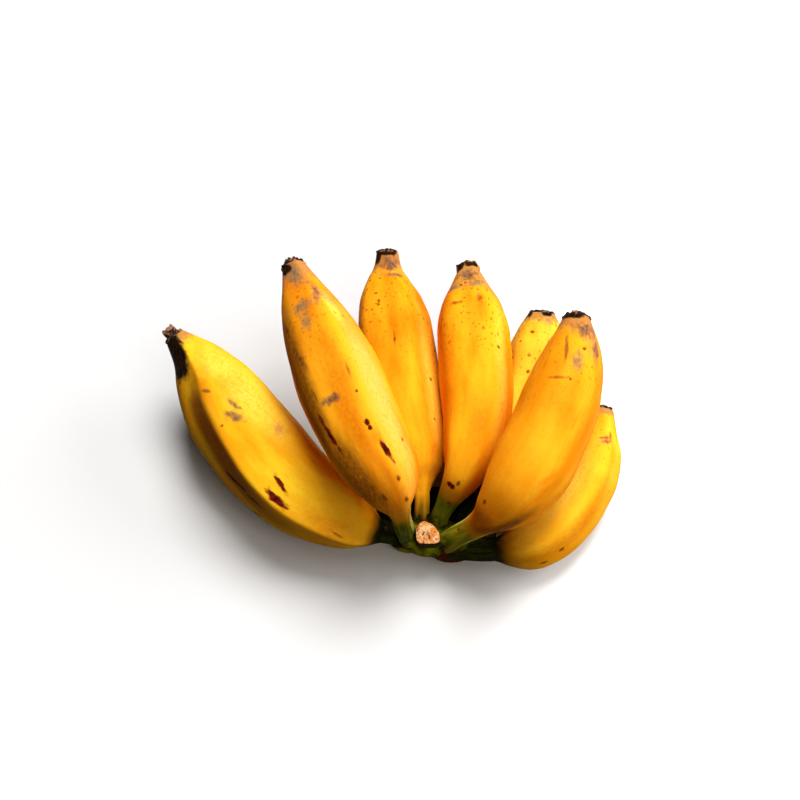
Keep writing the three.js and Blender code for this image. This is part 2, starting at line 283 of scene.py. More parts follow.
MIDDLE_RIGHT = dict(
    name="middle_right",
    route=[
        (-0.6, 8.6, 11), (0, 8.9, 17), (2.8, 12.6, 22.3), (8.5, 20.4, 30), (12.9, 40.1, 32.3),
        (12.8, 61.8, 31.3), (12, 83.6, 32.8), (11, 102.8, 34.6),
    ],
    thickness=[
        (0, 6), (8, 6.4), (15, 8.8), (24, 14), (34, 19.5), (48, 23.5), (66, 25.6), (82, 25.6),
        (93, 21.5), (101, 14), (107, 8.4),
    ],
    turn=-10,
    ridges=6,
    stalk_colours=((68, 82, 9), (104, 104, 16)),
    dry=20,
    green=(9, 27),
    freckles=0.9,
    blossom=dict(width=6.2, height=1.2, top=(40, 26, 16)),
    skin=((238, 136, 6), (250, 178, 26)),
    marks=[
        ("yellow", 0.58, 46, 36, 5, 0),
        ("orange", 0.6, -45, 30, 5, 0),
        ("orange", 0.81, 16, 7.5, 3.4, 0),
        ("orange", 0.36, 10, 18, 6, 0),
        ("black", 0.99, -50, 3, 2.2, 30),
        ("black", 0.998, 20, 1.8, 3.4, 0),
        ("grey", 0.905, 18, 2.6, 5.6, 0),
        ("grey", 0.89, -42, 2, 4, 0),
        ("scratch", 0.82, -28, 1.3, 4.4, 0),
        ("scratch", 0.83, 14, 3, 1.6, 20),
        ("dot", 0.645, 38, 1.2, 1.3, 0),
        ("bruise", 0.184, -14, 1.1, 2.4, 0),
        ("dot", 0.2, 7, 1.2, 1, 0),
        ("dot", 0.125, 17, 1.1, 1, 0),
        ("rub", 0.945, -4, 3.4, 4.2, 0),
    ],
)
BACK_RIGHT = dict(
    name="back_right",
    route=[
        (2, 5, 8), (15, 17, 10), (27.5, 36, 12.5), (36, 62, 14), (38, 78, 18.5), (39, 89, 24),
    ],
    thickness=[
        (0, 7.2), (12, 7.6), (24, 16), (38, 23), (60, 25), (80, 23), (91, 16), (97, 9.6),
    ],
    ridges=7,
    # painted shade: this stalk is made nearly black, where it lies in shade behind the others
    stalk_colours=((14, 18, 4), (26, 32, 6)),
    dry=6,
    green=(26, 46),
    freckles=0.8,
    blossom=dict(width=6.2, height=1.2, top=(40, 26, 16)),
    skin=((250, 170, 20), (253, 204, 56)),
    marks=[
        ("yellow", 0.7, 20, 20, 6, 0),
        ("dot", 0.92, -19, 1.1, 1, 0),
        ("dot", 0.87, -37, 0.8, 0.8, 0),
        ("dot", 0.727, -14, 1.6, 1, 0),
        ("dot", 0.8, -50, 1.1, 1, 0),
        ("dot", 0.895, -80, 1, 0.8, 0),
        ("pink", 0.965, 24, 2, 1.8, 0),
        ("black", 0.995, -60, 1.8, 2.4, 0),
        ("black", 1.0, 25, 1.4, 2.6, 0),
    ],
)
FRONT_RIGHT = dict(
    name="front_right",
    route=[
        (3.1, 0.6, 10.5), (5.4, 0, 17.3), (12.4, 1.2, 24), (20.5, 3.5, 35), (29, 12, 41.5),
        (38.5, 30, 44.5), (45.5, 49.5, 48.5), (48, 61, 50.5), (49, 70, 51),
    ],
    thickness=[
        (0, 7.6), (12, 7.8), (18, 9), (24, 12), (31, 18.5), (40, 25), (52, 28), (70, 28), (85, 25),
        (96, 19.5), (102, 14.5), (108, 10),
    ],
    ridges=4.5,
    stalk_colours=((98, 98, 12), (136, 126, 22)),
    dry=12,
    green=(10, 27),
    freckles=0.4,
    blossom=dict(width=4.6, height=3.4, top=(196, 150, 128)),
    skin=((238, 136, 8), (249, 168, 26)),
    marks=[
        ("orange", 0.4, 85, 14, 4, 20),
        ("orange", 0.24, 12, 20, 9, 0),
        ("brown", 0.25, 48, 16, 4.2, 14),
        ("orange", 0.435, 41, 5, 1.4, 37),
        ("streak", 0.845, -9, 10.5, 1.1, -9),
        ("grey", 0.82, 15, 6, 3, -10),
        ("grey", 0.905, 56, 7.5, 1.6, -9),
        ("rub", 0.935, 24, 4.4, 6, 0),
        ("pink", 0.9, 44, 9, 4.5, 0),
        ("rub", 0.87, 50, 6, 2.4, 0),
        ("scratch", 0.745, -8, 6, 0.9, 75),
        ("dot", 0.867, 23, 1, 1, 0),
        ("dot", 0.75, 10, 0.8, 0.8, 0),
        ("dot", 0.295, -22, 1, 1, 0),
        ("dot", 0.113, -28, 1.1, 1.2, 0),
        ("black", 1.0, -20, 2.6, 5.5, 0),
        ("pale", 0.14, -75, 9, 1.3, 0),
        ("brown", 0.05, 40, 9, 3.4, 0),
        ("pale", 0.15, 80, 12, 1.1, 0),
    ],
)
FAR_RIGHT = dict(
    name="far_right",
    route=[
        (3, 0, 7), (19, -1.5, 9.5), (33, 0.5, 12), (45, 13, 13), (54, 29.5, 15.5), (57.5, 40.5, 19),
        (59.2, 49.2, 22.4),
    ],
    thickness=[
        (0, 7), (16, 7.6), (22, 12), (31, 19), (45, 23.5), (62, 24), (74, 19.5), (82, 13), (89, 9),
    ],
    ridges=7,
    stalk_colours=((22, 26, 5), (40, 46, 8)),
    dry=4,
    green=(16, 30),
    freckles=0.4,
    blossom=dict(width=5.6, height=1.4, top=(40, 26, 16)),
    skin=((248, 160, 12), (253, 198, 44)),
    marks=[
        ("yellow", 0.6, -4, 30, 6, 0),
        ("orange", 0.5, 60, 26, 6, 0),
        ("pink", 0.865, 31, 3, 3.8, 0),
        ("scratch", 0.875, 31, 4.2, 0.7, 71),
        ("scratch", 0.857, 31, 3.4, 0.9, 76),
        ("scratch", 0.885, 44, 3, 1, 10),
        ("dot", 0.4, 71, 1.3, 1, 0),
        ("dot", 0.345, 83, 1.4, 0.9, 0),
        ("black", 0.995, -30, 1.6, 2.6, 0),
    ],
)
BANANAS = [FAR_LEFT, FRONT_LEFT, MIDDLE_LEFT, MIDDLE_RIGHT, BACK_RIGHT, FRONT_RIGHT, FAR_RIGHT]


def in_part(places):
    """Places in millimetres from the hand's zero, as metres in the part's frame."""
    return (np.asarray(places, float) + HAND_ZERO) * MM


def smooth_step(value, low, high):
    """0 below low, 1 above high, and smooth between them."""
    share = np.clip((value - low) / (high - low), 0, 1)
    return share * share * (3 - 2 * share)


def smooth_route(points, steps):
    """Evenly spaced points on a smooth curve through the given ones, and its length."""
    given = np.array(points, float)
    knots = np.vstack([2 * given[0] - given[1], given, 2 * given[-1] - given[-2]])
    share = np.linspace(0, 1, CURVE_STEPS, endpoint=False)[:, None]
    stretches = []
    for first in range(len(knots) - 3):
        before, start, end, after = knots[first : first + 4]
        gap_before, gap, gap_after = [
            math.sqrt(np.linalg.norm(step)) for step in (start - before, end - start, after - end)
        ]
        slope = (end - start) / gap
        leaving = (start - before) / gap_before - (end - before) / (gap_before + gap) + slope
        arriving = slope - (after - start) / (gap + gap_after) + (after - end) / gap_after
        leaving *= gap
        arriving *= gap
        bend = 3 * (end - start) - 2 * leaving - arriving
        twist = 2 * (start - end) + leaving + arriving
        stretches.append(start + leaving * share + bend * share**2 + twist * share**3)
    dense = np.vstack([*stretches, given[-1:]])
    travelled = np.concatenate([[0], np.cumsum(np.linalg.norm(np.diff(dense, axis=0), axis=1))])
    wanted = np.linspace(0, travelled[-1], steps + 1)
    places = np.stack([np.interp(wanted, travelled, dense[:, axis]) for axis in range(3)], axis=1)
    return places, travelled[-1]


def sides_along(points):
    """The direction, upper side and right side of a route at each point. The upper side is level in
    the middle and follows the bends without twist."""
    directions = np.gradient(points, axis=0)
    directions /= np.linalg.norm(directions, axis=1)[:, None]
    uppers = np.zeros_like(points)
    middle = len(points) // 2
    uppers[middle] = (0, 0, 1)
    for order in (range(middle, len(points)), range(middle, -1, -1)):
        upper = uppers[middle]
        for step in order:
            upper = upper - directions[step] * (upper @ directions[step])
            upper = upper / np.linalg.norm(upper)
            uppers[step] = upper
    return directions, uppers, np.cross(directions, uppers)


def outward(angle, uppers, rights):
    """The direction out of a route at each of its points, for each angle round it."""
    upward = np.cos(angle)[:, None] * uppers[:, None, :]
    return upward + np.sin(angle)[:, None] * rights[:, None, :]


def skin_radius(banana, along):
    """Half the banana's thickness at distances along its route. It never swings past the thickness
    given, because its slope is level at a highest or a lowest one."""
    places, sizes = np.array(banana["thickness"], float).T
    gaps = np.diff(places)
    steps = np.diff(sizes) / gaps
    before, after = steps[:-1], steps[1:]
    same_way = before * after > 0
    total = np.where(same_way, before + after, 1)
    inner = np.where(same_way, 2 * before * after / total, 0)
    slopes = np.concatenate([steps[:1], inner, steps[-1:]])
    place = np.clip(along, places[0], places[-1])
    start = np.clip(np.searchsorted(places, place, side="right") - 1, 0, len(gaps) - 1)
    gap = gaps[start]
    share = (place - places[start]) / gap
    level = sizes[start] + (sizes[start + 1] - sizes[start]) * smooth_step(share, 0, 1)
    leaving = gap * slopes[start] * share * (1 - share) ** 2
    arriving = gap * slopes[start + 1] * share**2 * (1 - share)
    return (level + leaving - arriving) / 2


def outline(banana, angle, share):
    """Each section's outline as a share of its radius, and how near each point is to a ridge."""
    turned = banana.get("turn", 0) + banana.get("twist", 0) * (share - 1)
    sharpness = np.full((len(share), len(angle)), float(banana["ridges"]))
    if "sharp_ridge" in banana:
        away = np.degrees(angle)[None, :] - banana["sharp_ridge"] - turned[:, None]
        off_ridge = (away + 180) % 360 - 180
        sharpness += SHARP_RIDGE_EXTRA * np.exp(-((off_ridge / SHARP_RIDGE_WIDTH) ** 2))
    faces = np.radians(np.array(banana.get("faces", EVEN_FACES))[None, :] + turned[:, None])
    toward = np.maximum(0, np.cos(angle[None, :, None] - faces[:, None, :]))
    reach = (toward ** sharpness[:, :, None]).sum(axis=2) ** (-1 / sharpness)
    nearest = np.sort(toward, axis=2)
    ridge = np.exp(-(((nearest[:, :, -1] - nearest[:, :, -2]) / RIDGE_BAND) ** 2))
    return reach, ridge


def unevenness(angle, along, seed, size):
    """Soft lumps and hollows over a skin, from a few waves that run round and along it."""
    draw = np.random.default_rng(seed)
    total = np.zeros((len(along), len(angle)))
    for turns in WAVE_TURNS:
        for wave_length in WAVE_LENGTHS:
            start = draw.uniform(0, 2 * math.pi, 2)
            around = np.cos(turns * angle[None, :] + start[0])
            lengthwise = np.cos(2 * math.pi * along[:, None] / wave_length + start[1])
            total += around * lengthwise * (wave_length / WAVE_LENGTHS[0]) ** WAVE_FADE
    return total * size / WAVE_SUM


def settle_on_floor(places):
    """Presses what is below the floor flat on it, with a soft edge."""
    settled = places.copy()
    settled[..., 2] = FLOOR_SOFTNESS * np.logaddexp(0, places[..., 2] / FLOOR_SOFTNESS)
    return settled


def ring_mesh(name, rings):
    """A closed skin over rings of points in millimetres, with a map for its bake."""
    count, sides = rings.shape[:2]
    corners = in_part(all_points(rings))
    first_end = count * sides
    last_ring = first_end - sides
    band = (1 - 2 * BAKE_MARGIN) / (count - 1)
    faces = []
    places = []
    for side in range(sides):
        after = (side + 1) % sides
        left, right = side / sides, (side + 1) / sides
        middle = (left + right) / 2
        for ring in range(count - 1):
            here = ring * sides
            low = BAKE_MARGIN + ring * band
            faces.append((here + side, here + after, here + sides + after, here + sides + side))
            places.extend([(left, low), (right, low), (right, low + band), (left, low + band)])
        faces.append((first_end, after, side))
        places.extend([(middle, 0), (right, BAKE_MARGIN), (left, BAKE_MARGIN)])
        faces.append((first_end + 1, last_ring + side, last_ring + after))
        places.extend([(middle, 1), (left, 1 - BAKE_MARGIN), (right, 1 - BAKE_MARGIN)])
    mesh = bpy.data.meshes.new(name)
    mesh.from_pydata(corners.tolist(), [], faces)
    mesh.uv_layers.new(name="OFBake").data.foreach_set("uv", np.array(places, np.float32).ravel())
    mesh.shade_smooth()
    return mesh


def all_points(rings):
    """The values of a ring mesh in the order of its points, with one for the middle of each end."""
    flat = rings.reshape(-1, *rings.shape[2:])
    return np.concatenate([flat, np.stack([rings[0].mean(axis=0), rings[-1].mean(axis=0)])])


def along_rings(values, sides):
    """One value for each ring of a ring mesh, for all of its points."""
    return all_points(np.repeat(np.asarray(values, float)[:, None], sides, axis=1))


def store_field(mesh, name, values):
    """Keeps one number or one place for each point of a mesh, for its material to read."""
    kind, key = ("FLOAT_VECTOR", "vector") if values.ndim == 2 else ("FLOAT", "value")
    attribute = mesh.attributes.new(name, kind, "POINT")
    attribute.data.foreach_set(key, values.astype(np.float32).ravel())


def mark_field(banana, kind, angle, along, length, radius):
    """How deep each point of the skin is in a mark of this kind, from 0 at its edge to 1."""
    field = np.full((len(along), len(angle)), -1.0)
    shape = MARK_KINDS[kind][-1]
    for mark_kind, share, direction, half_length, half_width, lean in banana["marks"]:
        if mark_kind != kind:
            continue
        turn = np.angle(np.exp(1j * (angle - math.radians(direction))))
        across = radius[:, None] * turn[None, :]
        lengthwise = (along - share * length)[:, None]
        slant = math.radians(lean)
        down = (lengthwise * math.cos(slant) + across * math.sin(slant)) / half_length
        over = (across * math.cos(slant) - lengthwise * math.sin(slant)) / half_width
        depth = 1 - (np.abs(down) ** shape + np.abs(over) ** shape) ** (1 / shape)
        field = np.maximum(field, depth)
    return field


def add_node(tree, kind, inputs, output=0, **settings):
    """A shader node whose inputs are plain values or other nodes' outputs. Gives its output."""
    made = tree.nodes.new(kind)
    for name, value in settings.items():
        setattr(made, name, value)
    for name, value in inputs.items():
        if isinstance(value, bpy.types.NodeSocket):
            tree.links.new(value, made.inputs[name])
        else:
            made.inputs[name].default_value = value
    return made.outputs[output]


def paint(colour):
    """A screen colour, from 0 to 255, as the light that Blender works with. Its numbers are those of
    the sRGB standard."""
    shares = np.array(colour) / 255
    light = np.where(shares <= 0.04045, shares / 12.92, ((shares + 0.055) / 1.055) ** 2.4)
    return (*light.tolist(), 1)


def layer(tree, amount, under, over):
    """One colour laid over another."""
    inputs = {0: amount}
    for socket, colour in ((6, under), (7, over)):
        inputs[socket] = colour if isinstance(colour, bpy.types.NodeSocket) else paint(colour)
    return add_node(tree, "ShaderNodeMix", inputs, 2, data_type="RGBA")


def math_of(tree, operation, *values):
    return add_node(tree, "ShaderNodeMath", dict(enumerate(values)), operation=operation)


def times(tree, first, second):
    return math_of(tree, "MULTIPLY", first, second)


def between(tree, value, low, high):
    """0 below low, 1 above high, and smooth between them."""
    inputs = {"Value": value, "From Min": low, "From Max": high}
    return add_node(tree, "ShaderNodeMapRange", inputs, interpolation_type="SMOOTHSTEP")


def field_of(tree, name, output=2):
    """A field that store_field kept: a number by default, and a place or a colour from output 1."""
    return add_node(tree, "ShaderNodeAttribute", {}, output, attribute_name=name)


def grain_noise(tree, size_mm, detail, stretch=1, shift=0):
    """Noise in the skin's own grain, with patches of about this size, longer along the fruit."""
    placing = {"Vector": field_of(tree, "grain", 1), "Scale": (1, 1, 1 / stretch), "Location": (shift,) * 3}
    stretched = add_node(tree, "ShaderNodeMapping", placing)
    inputs = {"Vector": stretched, "Scale": 1 / (size_mm * MM), "Detail": detail}
    return add_node(tree, "ShaderNodeTexNoise", inputs)


def patches(tree, size_mm, detail, edge, stretch=1, shift=0):
    """Scattered patches of noise, 0 outside them and 1 inside, with an edge between two levels."""
    return between(tree, grain_noise(tree, size_mm, detail, stretch, shift), *edge)


def ragged(tree, field, amount, size_mm, stretch, detail=3):
    """A field with its edge broken up by noise."""
    noise = grain_noise(tree, size_mm, detail, stretch)
    return math_of(tree, "ADD", field, times(tree, math_of(tree, "SUBTRACT", noise, 0.5), amount))


def specks(tree, spacing_mm, largest, chosen_share):
    """Scattered specks of many sizes, at most one in each cell of a loose pattern. The largest is a
    share of a cell."""
    cells = tree.nodes.new("ShaderNodeTexVoronoi")
    tree.links.new(field_of(tree, "grain", 1), cells.inputs["Vector"])
    cells.inputs["Scale"].default_value = 1 / (spacing_mm * MM)
    chance = tree.nodes.new("ShaderNodeSeparateColor")
    tree.links.new(cells.outputs["Color"], chance.inputs["Color"])
    size = times(tree, chance.outputs["Red"], largest)
    size = ragged(tree, size, largest * SPECK_RAGGED, spacing_mm * SPECK_NOISE, stretch=1, detail=2)
    inside = math_of(tree, "SUBTRACT", size, cells.outputs["Distance"])
    chosen = math_of(tree, "GREATER_THAN", chosen_share, chance.outputs["Green"])
    return times(tree, between(tree, inside, 0, SPECK_EDGE), chosen)


def new_material(name, look):
    """A material, its tree and its shader, with plain values on the shader's own sockets."""
    material = bpy.data.materials.new(name)
    material.use_nodes = True
    shader = material.node_tree.nodes["Principled BSDF"]
    for socket, value in look.items():
        shader.inputs[socket].default_value = value
    return material, material.node_tree, shader


def give_surface(tree, shader, colour, height, strength, depth_mm):
    """Gives a shader its colour, and a fine relief of this depth."""
    tree.links.new(colour, shader.inputs["Base Color"])
    relief = {"Height": height, "Strength": strength, "Distance": depth_mm * MM}
    tree.links.new(add_node(tree, "ShaderNodeBump", relief), shader.inputs["Normal"])


def mark_layer(tree, kind, colour):
    """One kind of mark laid over the skin."""
    colours, strength, full_depth, noise, _ = MARK_KINDS[kind]
    depth = ragged(tree, field_of(tree, kind), *noise)
    amount = times(tree, between(tree, depth, 0, full_depth), strength)
    mottle = patches(tree, size_mm=0.9, detail=3, stretch=1.5, edge=(0.4, 0.62))
    return layer(tree, amount, colour, layer(tree, mottle, *colours))


def skin_material(banana, kinds, shift):
    look = {"Roughness": SKIN_ROUGHNESS[0], "Specular IOR Level": 0.06, "IOR": 1.2}
    material, tree, shader = new_material("skin_" + banana["name"], look)

    broad = times(tree, grain_noise(tree, size_mm=15, detail=2, stretch=4, shift=shift), BROAD_SHARE)
    patchy = grain_noise(tree, size_mm=4.5, detail=3, stretch=3.5, shift=shift)
    tone = math_of(tree, "ADD", broad, times(tree, patchy, 1 - BROAD_SHARE))
    colour = layer(tree, between(tree, tone, *TONE_EDGE), *banana["skin"])
    for kind in kinds:
        if kind in SOFT_KINDS:
            colour = mark_layer(tree, kind, colour)
    # Painted shade: skin that faces away from the lamps is made a deeper orange.
    shaded = times(tree, field_of(tree, "painted_shade_side"), PAINTED_SHADE_SIDE_STRENGTH)
    colour = layer(tree, shaded, colour, DEEP_ORANGE)
    grain = {}
    for name, fine in SKIN_GRAIN.items():
        there = shift + fine["shift"]
        grain[name] = patches(tree, fine["size_mm"], fine["detail"], fine["edge"], fine["stretch"], there)
        colour = layer(tree, times(tree, grain[name], fine["strength"]), colour, fine["colour"])

    worn = grain_noise(tree, size_mm=3, detail=4, stretch=4, shift=shift)
    ridge = between(tree, times(tree, field_of(tree, "ridge"), worn), *RIDGE_EDGE)
    colour = layer(tree, times(tree, ridge, RIDGE_STRENGTH), colour, RIDGE_BROWN)

    green = ragged(tree, field_of(tree, "green"), amount=0.3, size_mm=2.5, stretch=5)
    colour = layer(tree, between(tree, green, *HALF_GREEN_EDGE), colour, HALF_GREEN)
    uneven = patches(tree, size_mm=1.6, detail=3, stretch=5, shift=shift, edge=(0.4, 0.7))
    stalk = layer(tree, uneven, *banana["stalk_colours"])
    colour = layer(tree, between(tree, green, *GREEN_EDGE), colour, stalk)

    tip = ragged(tree, field_of(tree, "tip"), amount=1.3, size_mm=1.6, stretch=1.2)
    dry = times(tree, between(tree, tip, *TIP_EDGE), TIP_STRENGTH)
    greyed = patches(tree, size_mm=1.2, detail=4, stretch=0.6, shift=shift, edge=(0.42, 0.6))
    dried = layer(tree, greyed, TIP_BROWN, TIP_GREY)
    colour = layer(tree, dry, colour, dried)

    zone = math_of(tree, "MULTIPLY_ADD", field_of(tree, "upper"), 1 - FRECKLES_BELOW, FRECKLES_BELOW)
    freckled = times(tree, zone, banana["freckles"])
    for spacing, largest, chosen, strength in FRECKLES:
        spots = times(tree, specks(tree, spacing, largest, chosen), strength)
        colour = layer(tree, times(tree, spots, freckled), colour, FRECKLE_BROWN)
    for kind in kinds:
        if kind not in SOFT_KINDS:
            colour = mark_layer(tree, kind, colour)

    pores = times(tree, grain_noise(tree, size_mm=0.45, detail=2, stretch=1.6, shift=shift), PORE_HEIGHT)
    dents = grain_noise(tree, size_mm=3.5, detail=4, stretch=2, shift=shift)
    give_surface(tree, shader, colour, math_of(tree, "ADD", pores, dents), strength=0.35, depth_mm=0.6)
    smooth, rough = SKIN_ROUGHNESS
    roughness = {"Value": grain["mottle"], "To Min": smooth, "To Max": rough}
    tree.links.new(add_node(tree, "ShaderNodeMapRange", roughness), shader.inputs["Roughness"])
    return material


def add_piece(name, mesh, material, node):
    """One finished piece, which stands in for a node of the part and rides on its body."""
    piece = bpy.data.objects.new(name, mesh)
    bpy.context.scene.collection.objects.link(piece)
    mesh.materials.append(material)
    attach(piece, "root")
    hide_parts(node)


angle = np.linspace(0, 2 * math.pi, SIDES, endpoint=False)
for number, banana in enumerate(BANANAS):
    points, length = smooth_route(banana["route"], RINGS)
    along = np.linspace(0, length, RINGS + 1)
    directions, uppers, rights = sides_along(points)
    radius = skin_radius(banana, along)
    reach, ridge = outline(banana, angle, along / length)
    fullness = smooth_step(radius, THIN_RADIUS, radius.max())
    lumpy = LUMPS_WHERE_THIN + (1 - LUMPS_WHERE_THIN) * fullness
    distance = radius[:, None] * reach + unevenness(angle, along, number, LUMPS) * lumpy[:, None]
    rings = points[:, None, :] + distance[:, :, None] * outward(angle, uppers, rights)
    mesh = ring_mesh("skin_" + banana["name"], settle_on_floor(rings))

    lengthwise = np.repeat(along[:, None], SIDES, axis=1)
    straight = np.stack([distance * np.cos(angle), distance * np.sin(angle), lengthwise], axis=2)
    store_field(mesh, "grain", all_points((straight + number * GRAIN_APART) * MM))
    store_field(mesh, "ridge", all_points(ridge))
    store_field(mesh, "green", along_rings(1 - smooth_step(along, *banana["green"]), SIDES))
    store_field(mesh, "tip", along_rings(smooth_step(along, length - banana["dry"], length), SIDES))
    store_field(mesh, "upper", along_rings(smooth_step(along / length, *FRECKLED_FROM), SIDES))
    # Painted shade: how far each point faces away from the lamps, from its normal, for the deeper orange
    # that stands in for shade.
    normals = np.zeros(len(mesh.vertices) * 3, np.float32)
    mesh.vertices.foreach_get("normal", normals)
    toward_painted_shade = normals.reshape(-1, 3) @ PAINTED_SHADE_SIDE
    store_field(mesh, "painted_shade_side", smooth_step(toward_painted_shade, *PAINTED_SHADE_SIDE_EDGE))
    kinds = [kind for kind in MARK_KINDS if any(mark[0] == kind for mark in banana["marks"])]
    for kind in kinds:
        store_field(mesh, kind, all_points(mark_field(banana, kind, angle, along, length, radius)))

    material = skin_material(banana, kinds, number * SHIFT_APART)
    add_piece("banana_skin_" + banana["name"], mesh, material, "banana_" + banana["name"])
    banana["tip"] = (points[-1], directions[-1], uppers[-1], rights[-1], radius[-1])
    banana["points"] = points
    banana["along"] = along

# ----------------------------------------------------------
# The crown: the knot of stem tissue that the stalks grew from, one piece with them. It is dark green
# and wrinkled, flows out over the foot of each stalk, and is brown and fibrous where a knife cut the
# hand off its stem. Under the bananas, between the stalks on the left and to the right, its colour is
# painted shade, nearly black, and its low lumps at the back fill the gaps between the stalks with it.

CROWN_LUMPS = [  # (middle, half sizes)
    ((-11, 5, 6.5), (8, 5.5, 9)),
    ((-4.5, 4, 6.5), (9, 6.5, 7.5)),
    ((4.2, 1.9, 6.5), (9.5, 6.8, 7.5)),
    ((-3, 9, 8), (8, 5.5, 6.2)),
    ((-19, 11, 5), (9, 8, 6)),
    ((1, 17, 4), (12, 9, 6)),
    ((12, 5, 4.5), (9, 6, 6)),
]
COLLAR_LENGTH = 17
COLLAR_WIDEST = 4.3  # it stops where the banana starts to swell
COLLAR_FOOT = 1.1  # how much thicker than its stalk a collar is where it starts
COLLAR_END = -0.5
VOXEL = 0.45
SMOOTHING = 0.5
SMOOTHING_PASSES = 14
BALL_SIDES = 24
BALL_BANDS = 14
CROWN_CUT_POINT = np.array([4.6, -3.6, 5])
CROWN_CUT_FACING = np.array([0.05, -1, 0.1])
CROWN_CUT_REACH = (9, 13)  # how far to the right the cut goes, fading between the two
CROWN_CUT_EDGE = (-0.3, 0.5)
CROWN_DARK_BACK = (4, 9)  # painted shade: it darkens between these distances back, under the bananas
CROWN_DARK_LEFT = (11, 15)  # and to the left, between two stalks, above the heights below
CROWN_DARK_HIGH = (6, 9)
CROWN_DARK_RIGHT = (4, 8)  # and a little less to the right
CROWN_RIGHT_SHARE = 0.8
CROWN_GREEN = (142, 144, 20)
CROWN_DARK = (62, 66, 9)
CROWN_SHADE = (8, 9, 3)
CROWN_OLIVE = (136, 122, 24)
STALK_COLOUR_FROM = (6, 13)  # the crown takes a stalk's colours between these distances along it
STALK_COLOUR_NEAR = (0.8, 1.8)  # and this close to it
CUT_BROWN = (64, 24, 10)
CUT_FIBRE = (138, 72, 36)
CUT_FIBRE_EDGE = (0.5, 0.7)
CUT_BROWN_EDGE = (0.3, 0.6)

around = np.linspace(0, 2 * math.pi, BALL_SIDES, endpoint=False)
upward = np.linspace(-math.pi / 2, math.pi / 2, BALL_BANDS + 1)[1:-1, None]
BALL = np.stack(
    [
        np.cos(upward) * np.cos(around),
        np.cos(upward) * np.sin(around),
        np.sin(upward) * np.ones(BALL_SIDES),
    ],
    axis=2,
)


def joined_balls(balls):
    """One mesh with all of the balls in it, each given as its middle and its half sizes."""
    corners = []
    faces = []
    for middle, halves in balls:
        start = len(corners)
        ball = np.array(middle) + BALL * np.array(halves)
        corners.extend(in_part(ball.reshape(-1, 3)).tolist())
        for band in range(BALL_BANDS - 2):
            here = start + band * BALL_SIDES
            above = here + BALL_SIDES
            for side in range(BALL_SIDES):
                after = (side + 1) % BALL_SIDES
                faces.append((here + side, here + after, above + after, above + side))
        last = start + (BALL_BANDS - 2) * BALL_SIDES
        faces.append(tuple(range(start + BALL_SIDES - 1, start - 1, -1)))
        faces.append(tuple(range(last, last + BALL_SIDES)))
    mesh = bpy.data.meshes.new("crown_lumps")
    mesh.from_pydata(corners, [], faces)
    return mesh


balls = list(CROWN_LUMPS)
for banana in BANANAS:
    for step in range(COLLAR_LENGTH):
        point = banana["points"][np.searchsorted(banana["along"], step)]
        left_to_go = 1 - step / COLLAR_LENGTH
        extra = COLLAR_END + (COLLAR_FOOT - COLLAR_END) * left_to_go**2
        stalk_half = skin_radius(banana, np.array([float(step)]))[0]
        if stalk_half > COLLAR_WIDEST:
            break
        balls.append((point, (stalk_half + extra,) * 3))
holder = bpy.data.objects.new("crown_lumps", joined_balls(balls))
bpy.context.scene.collection.objects.link(holder)
remesh = holder.modifiers.new("grown_together", "REMESH")
remesh.mode = "VOXEL"
remesh.voxel_size = VOXEL * MM
smoothing = holder.modifiers.new("softened", "SMOOTH")
smoothing.factor = SMOOTHING
smoothing.iterations = SMOOTHING_PASSES
grown = holder.evaluated_get(bpy.context.evaluated_depsgraph_get())
crown_mesh = bpy.data.meshes.new_from_object(grown)
bpy.data.objects.remove(holder)

corners = np.zeros(len(crown_mesh.vertices) * 3, np.float32)
crown_mesh.vertices.foreach_get("co", corners)
corners = corners.reshape(-1, 3) / MM - HAND_ZERO
facing = CROWN_CUT_FACING / np.linalg.norm(CROWN_CUT_FACING)
beyond = (corners - CROWN_CUT_POINT) @ facing
near_cut = 1 - smooth_step(corners[:, 0], *CROWN_CUT_REACH)
cut_depth = np.maximum(0, beyond) * near_cut
corners -= cut_depth[:, None] * facing
corners = settle_on_floor(corners)
crown_mesh.vertices.foreach_set("co", in_part(corners).astype(np.float32).ravel())
crown_mesh.update()
store_field(crown_mesh, "grain", corners * MM)
store_field(crown_mesh, "cut", smooth_step(beyond, *CROWN_CUT_EDGE) * near_cut)
to_right, to_back, height = corners.T
# Painted shade: the crown is made nearly black under the bananas, between two stalks on the left and to the
# right.
under_bananas = smooth_step(to_back, *CROWN_DARK_BACK)
left_shoulder = smooth_step(-to_right, *CROWN_DARK_LEFT) * smooth_step(height, *CROWN_DARK_HIGH)
right_side = CROWN_RIGHT_SHARE * smooth_step(to_right, *CROWN_DARK_RIGHT)
store_field(crown_mesh, "crown_painted_shade", np.maximum.reduce([under_bananas, left_shoulder, right_side]))
nearest_gap = np.full(len(corners), np.inf)
stalk_share = np.zeros(len(corners))
stalk_shades = np.zeros((2, len(corners), 3))
for banana in BANANAS:
    foot = banana["along"] < COLLAR_LENGTH
    gaps = np.linalg.norm(corners[:, None, :] - banana["points"][foot][None, :, :], axis=2)
    place = banana["along"][gaps.argmin(axis=1)]
    gap = gaps.min(axis=1) - skin_radius(banana, place)
    closer = gap < nearest_gap
    nearest_gap[closer] = gap[closer]
    share = smooth_step(place, *STALK_COLOUR_FROM) * (1 - smooth_step(gap, *STALK_COLOUR_NEAR))
    stalk_share[closer] = share[closer]
    for shade, colour in zip(stalk_shades, banana["stalk_colours"]):
        shade[closer] = paint(colour)[:3]
store_field(crown_mesh, "stalk_share", stalk_share)
store_field(crown_mesh, "stalk_dark", stalk_shades[0])
store_field(crown_mesh, "stalk_light", stalk_shades[1])
crown_mesh.shade_smooth()

